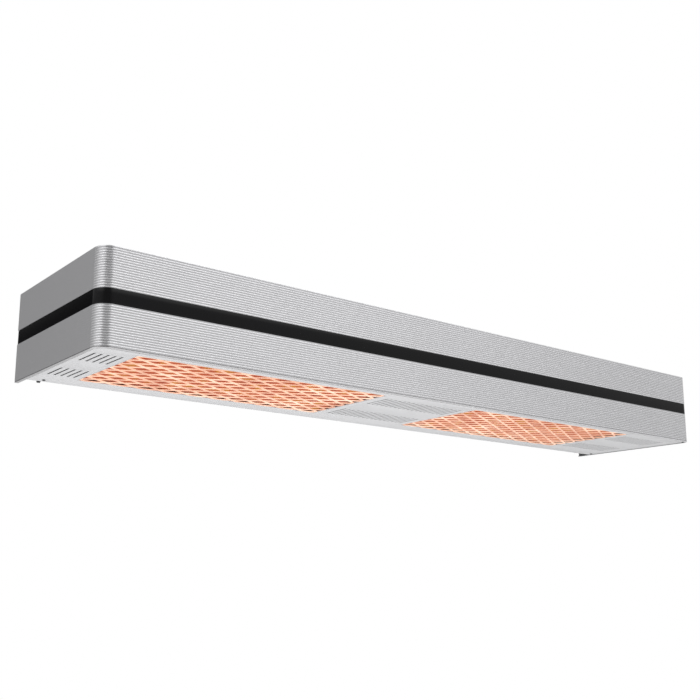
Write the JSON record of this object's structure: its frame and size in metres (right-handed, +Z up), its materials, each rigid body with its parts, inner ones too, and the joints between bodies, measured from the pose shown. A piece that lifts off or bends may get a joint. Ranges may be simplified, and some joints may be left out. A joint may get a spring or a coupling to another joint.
{
  "type": "overhead heat lamp warmer",
  "caption": "Long wall-hung overhead infrared food warmer: fluted curved shroud with a dark band, slotted fascia with glowing mesh-guarded windows, swing-down underside.",
  "frame": {"origin": "centre of the wall rail's back face, on the wall plane, halfway up the shroud", "axes": "+X along the heater to the right as seen from the room, +Y into the wall, +Z up"},
  "size_m": [1.216, 0.266, 0.1271],
  "materials": {
    "shroud": "satin anodised, fluted",
    "gloss_band": "gloss black",
    "white_paint": "powder coat",
    "fascia_paint": "high-temperature pale grey powder coat",
    "galvanised": "zinc coated",
    "spring_steel": "bright",
    "guard_mesh": "bare expanded metal, heat tinted and lit by the emitters",
    "dark_steel": "black oxide",
    "reflector": "bright rolled",
    "glowing_tile": "matt, glowing",
    "ceramic_board": "soft fibre board",
    "grey_nylon": "matt",
    "black_plastic": "matt",
    "bare_aluminium": "extruded",
    "brass": "bright",
    "lead_sleeve": "silicone sleeve",
    "rubber": "matt"
  },
  "bodies": {
    "wall_rail": {"wall_rail": "galvanised"},
    "heater": {"lower_shroud": "shroud", "upper_shroud": "shroud", "trim_band": "gloss_band", "shroud_liner": "galvanised", "top_cover": "white_paint", "rear_panel": "white_paint", "corner_angle_left": "galvanised", "corner_angle_right": "galvanised", "catch_left": "spring_steel", "catch_middle": "spring_steel", "catch_right": "spring_steel", "hinge_bracket_left": "dark_steel", "hinge_bracket_right": "dark_steel", "pivot_pin_left": "spring_steel", "pivot_pin_right": "spring_steel", "emitter_tray_left": "reflector", "emitter_tray_right": "reflector", "insulation_board_left": "ceramic_board", "insulation_board_right": "ceramic_board", "cross_rail_1": "galvanised", "cross_rail_2": "galvanised", "cross_rail_3": "galvanised", "cross_rail_4": "galvanised", "heat_shield": "reflector", "terminal_baffle": "galvanised", "terminal_block": "grey_nylon", "power_controller": "black_plastic", "heat_sink": "bare_aluminium", "thermal_cutout": "black_plastic", "earth_stud": "brass", "supply_gland": "black_plastic", "gland_locknut": "black_plastic", "supply_lead": "lead_sleeve", "zone_lead_left": "lead_sleeve", "zone_lead_right": "lead_sleeve", "hanger_rail": "galvanised", "spacer_pad_left": "rubber", "spacer_pad_right": "rubber", "emitter_tile_left_1": "glowing_tile", "emitter_tile_left_2": "glowing_tile", "emitter_tile_left_3": "glowing_tile", "emitter_tile_left_4": "glowing_tile", "emitter_tile_left_5": "glowing_tile", "emitter_tile_left_6": "glowing_tile", "emitter_tile_right_1": "glowing_tile", "emitter_tile_right_2": "glowing_tile", "emitter_tile_right_3": "glowing_tile", "emitter_tile_right_4": "glowing_tile", "emitter_tile_right_5": "glowing_tile", "emitter_tile_right_6": "glowing_tile"},
    "fascia": {"fascia": "fascia_paint", "guard_left": "guard_mesh", "guard_right": "guard_mesh", "guard_frame_left": "dark_steel", "guard_frame_right": "dark_steel", "pivot_bracket_left": "dark_steel", "pivot_bracket_right": "dark_steel", "pivot_screw_left": "dark_steel", "pivot_screw_right": "dark_steel"}
  },
  "joints": [
    {"name": "lift_off", "type": "slide", "parent": "wall_rail", "child": "heater", "axis": [0, 0, 1], "range_m": [0, 0.014]},
    {"name": "fascia_swing", "type": "hinge", "parent": "heater", "child": "fascia", "pos_m": [0, -0.025, -0.0607], "axis": [1, 0, 0], "range_deg": [0, 80]}
  ]
}
